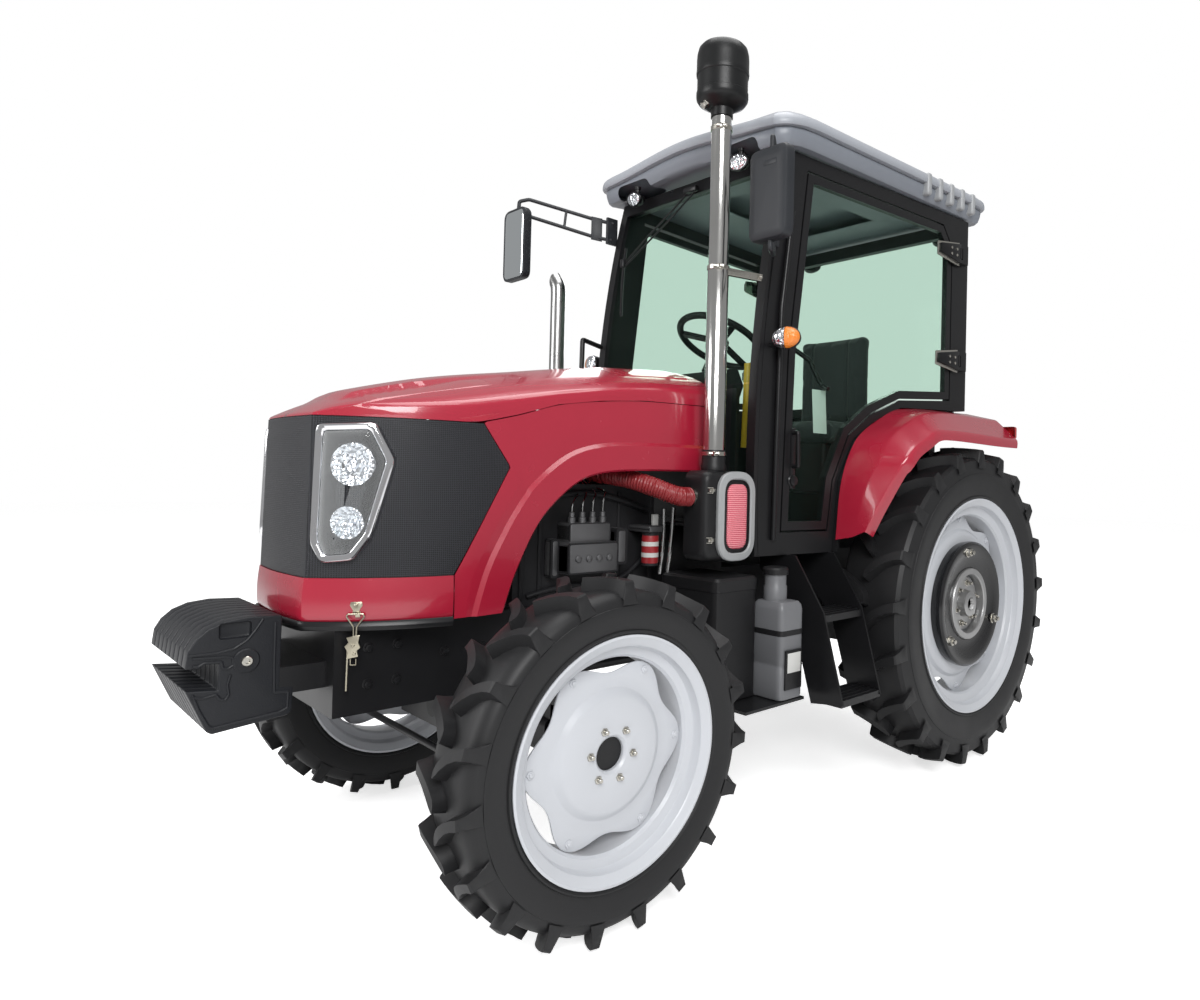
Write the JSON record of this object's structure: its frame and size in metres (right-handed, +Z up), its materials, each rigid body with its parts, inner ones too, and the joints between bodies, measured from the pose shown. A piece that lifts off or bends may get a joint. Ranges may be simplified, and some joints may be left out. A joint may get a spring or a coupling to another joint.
{
  "type": "farm tractor",
  "caption": "Four-wheel-drive farm tractor with a closed cab, lug tyres, steered front wheels, tilting hood, rear-hinged doors, front weights and a rear three-point hitch.",
  "frame": {"origin": "on the ground, under the middle of the tractor's length and width", "axes": "-Y is forward, +X is the tractor's left, +Z is up"},
  "size_m": [1.66, 3.88, 2.8226],
  "materials": {
    "tyre_rubber": "matt",
    "rim_white": "satin",
    "body_red": "gloss",
    "black_mesh": "satin",
    "lamp_glass": "gloss",
    "lamp_red": "gloss",
    "black_casting": "satin",
    "engine_iron": "satin",
    "black_steel": "satin",
    "black_plastic": "matt",
    "hose_red": "satin",
    "grey_plastic": "satin",
    "clear_glass": "gloss",
    "chrome": "polished",
    "seat_cloth": "matt"
  },
  "bodies": {
    "chassis": {"front_frame": "black_casting", "engine": "engine_iron", "radiator": "black_steel", "transmission": "black_casting", "drive_shaft": "black_steel", "front_axle": "black_casting", "front_weights": "black_casting", "carrier_left": "black_steel", "carrier_right": "black_steel", "battery_box": "black_plastic", "fluid_tank": "grey_plastic", "fuel_tank": "black_plastic", "air_cleaner": "black_plastic", "intake_duct": "hose_red", "intake_pipe": "chrome", "precleaner": "black_plastic", "exhaust": "chrome", "steps_left": "black_steel", "steps_right": "black_steel", "cab_frame": "black_steel", "cab_floor": "black_plastic", "cab_glass": "clear_glass", "cab_lamps": "lamp_glass", "roof": "grey_plastic", "dash": "black_plastic", "steering_wheel": "black_plastic", "seat_base": "black_steel", "seat": "seat_cloth", "fender_left": "body_red", "fender_right": "body_red", "mirrors": "black_plastic", "rear_lamps": "lamp_red", "top_link": "black_steel", "drawbar": "black_casting"},
    "hood": {"hood_top": "body_red", "hood_sides": "body_red", "front_band": "body_red", "grille": "black_mesh", "headlights": "lamp_glass"},
    "door_left": {"door_left_frame": "black_steel", "door_left_glass": "clear_glass"},
    "door_right": {"door_right_frame": "black_steel", "door_right_glass": "clear_glass"},
    "knuckle_left": {"knuckle_left": "black_casting"},
    "knuckle_right": {"knuckle_right": "black_casting"},
    "tie_rod": {"tie_rod": "black_steel"},
    "wheel_front_left": {"tyre_front_left": "tyre_rubber", "rim_front_left": "rim_white"},
    "wheel_front_right": {"tyre_front_right": "tyre_rubber", "rim_front_right": "rim_white"},
    "wheel_rear_left": {"tyre_rear_left": "tyre_rubber", "rim_rear_left": "rim_white", "hub_rear_left": "black_casting"},
    "wheel_rear_right": {"tyre_rear_right": "tyre_rubber", "rim_rear_right": "rim_white", "hub_rear_right": "black_casting"},
    "lift_arms": {"lift_arms": "black_casting"},
    "lift_rods": {"lift_rods": "black_steel"},
    "lower_links": {"lower_links": "black_steel"}
  },
  "joints": [
    {"name": "rear_left_spin", "type": "hinge", "parent": "chassis", "child": "wheel_rear_left", "pos_m": [0.661, 0.94, 0.708], "axis": [1, 0, 0], "continuous": true},
    {"name": "rear_right_spin", "type": "hinge", "parent": "chassis", "child": "wheel_rear_right", "pos_m": [-0.661, 0.94, 0.708], "axis": [1, 0, 0], "continuous": true},
    {"name": "left_steer", "type": "hinge", "parent": "chassis", "child": "knuckle_left", "pos_m": [0.575, -1.06, 0.488], "axis": [0, 0, 1], "range_deg": [-35, 35]},
    {"name": "right_steer", "type": "hinge", "parent": "chassis", "child": "knuckle_right", "pos_m": [-0.575, -1.06, 0.488], "axis": [0, 0, 1], "range_deg": [-35, 35]},
    {"name": "tie_rod_turn", "type": "hinge", "parent": "knuckle_left", "child": "tie_rod", "pos_m": [0.575, -1.24, 0.382], "axis": [0, 0, 1], "range_deg": [-35, 35]},
    {"name": "front_left_spin", "type": "hinge", "parent": "knuckle_left", "child": "wheel_front_left", "pos_m": [0.702, -1.06, 0.488], "axis": [1, 0, 0], "continuous": true},
    {"name": "front_right_spin", "type": "hinge", "parent": "knuckle_right", "child": "wheel_front_right", "pos_m": [-0.702, -1.06, 0.488], "axis": [1, 0, 0], "continuous": true},
    {"name": "hood_tilt", "type": "hinge", "parent": "chassis", "child": "hood", "pos_m": [0, -0.332, 1.6], "axis": [-1, 0, 0], "range_deg": [0, 50]},
    {"name": "door_left_swing", "type": "hinge", "parent": "chassis", "child": "door_left", "pos_m": [0.62588, 1.03087, 1.6], "axis": [0, 0, 1], "range_deg": [0, 70]},
    {"name": "door_right_swing", "type": "hinge", "parent": "chassis", "child": "door_right", "pos_m": [-0.62588, 1.03087, 1.6], "axis": [0, 0, -1], "range_deg": [0, 70]},
    {"name": "lift_turn", "type": "hinge", "parent": "chassis", "child": "lift_arms", "pos_m": [0, 1.202, 0.895], "axis": [1, 0, 0], "range_deg": [-12, 26]},
    {"name": "rod_turn", "type": "hinge", "parent": "lift_arms", "child": "lift_rods", "pos_m": [0, 1.50127, 0.87407], "axis": [1, 0, 0], "range_deg": [-26, 12]},
    {"name": "link_turn", "type": "hinge", "parent": "chassis", "child": "lower_links", "pos_m": [0, 1.06, 0.56], "axis": [1, 0, 0], "range_deg": [-12, 26]}
  ],
  "couplings": [
    {"joint": "right_steer", "follows": "left_steer", "ratio": 1},
    {"joint": "tie_rod_turn", "follows": "left_steer", "ratio": -1},
    {"joint": "rod_turn", "follows": "lift_turn", "ratio": -1},
    {"joint": "link_turn", "follows": "lift_turn", "ratio": 1}
  ]
}
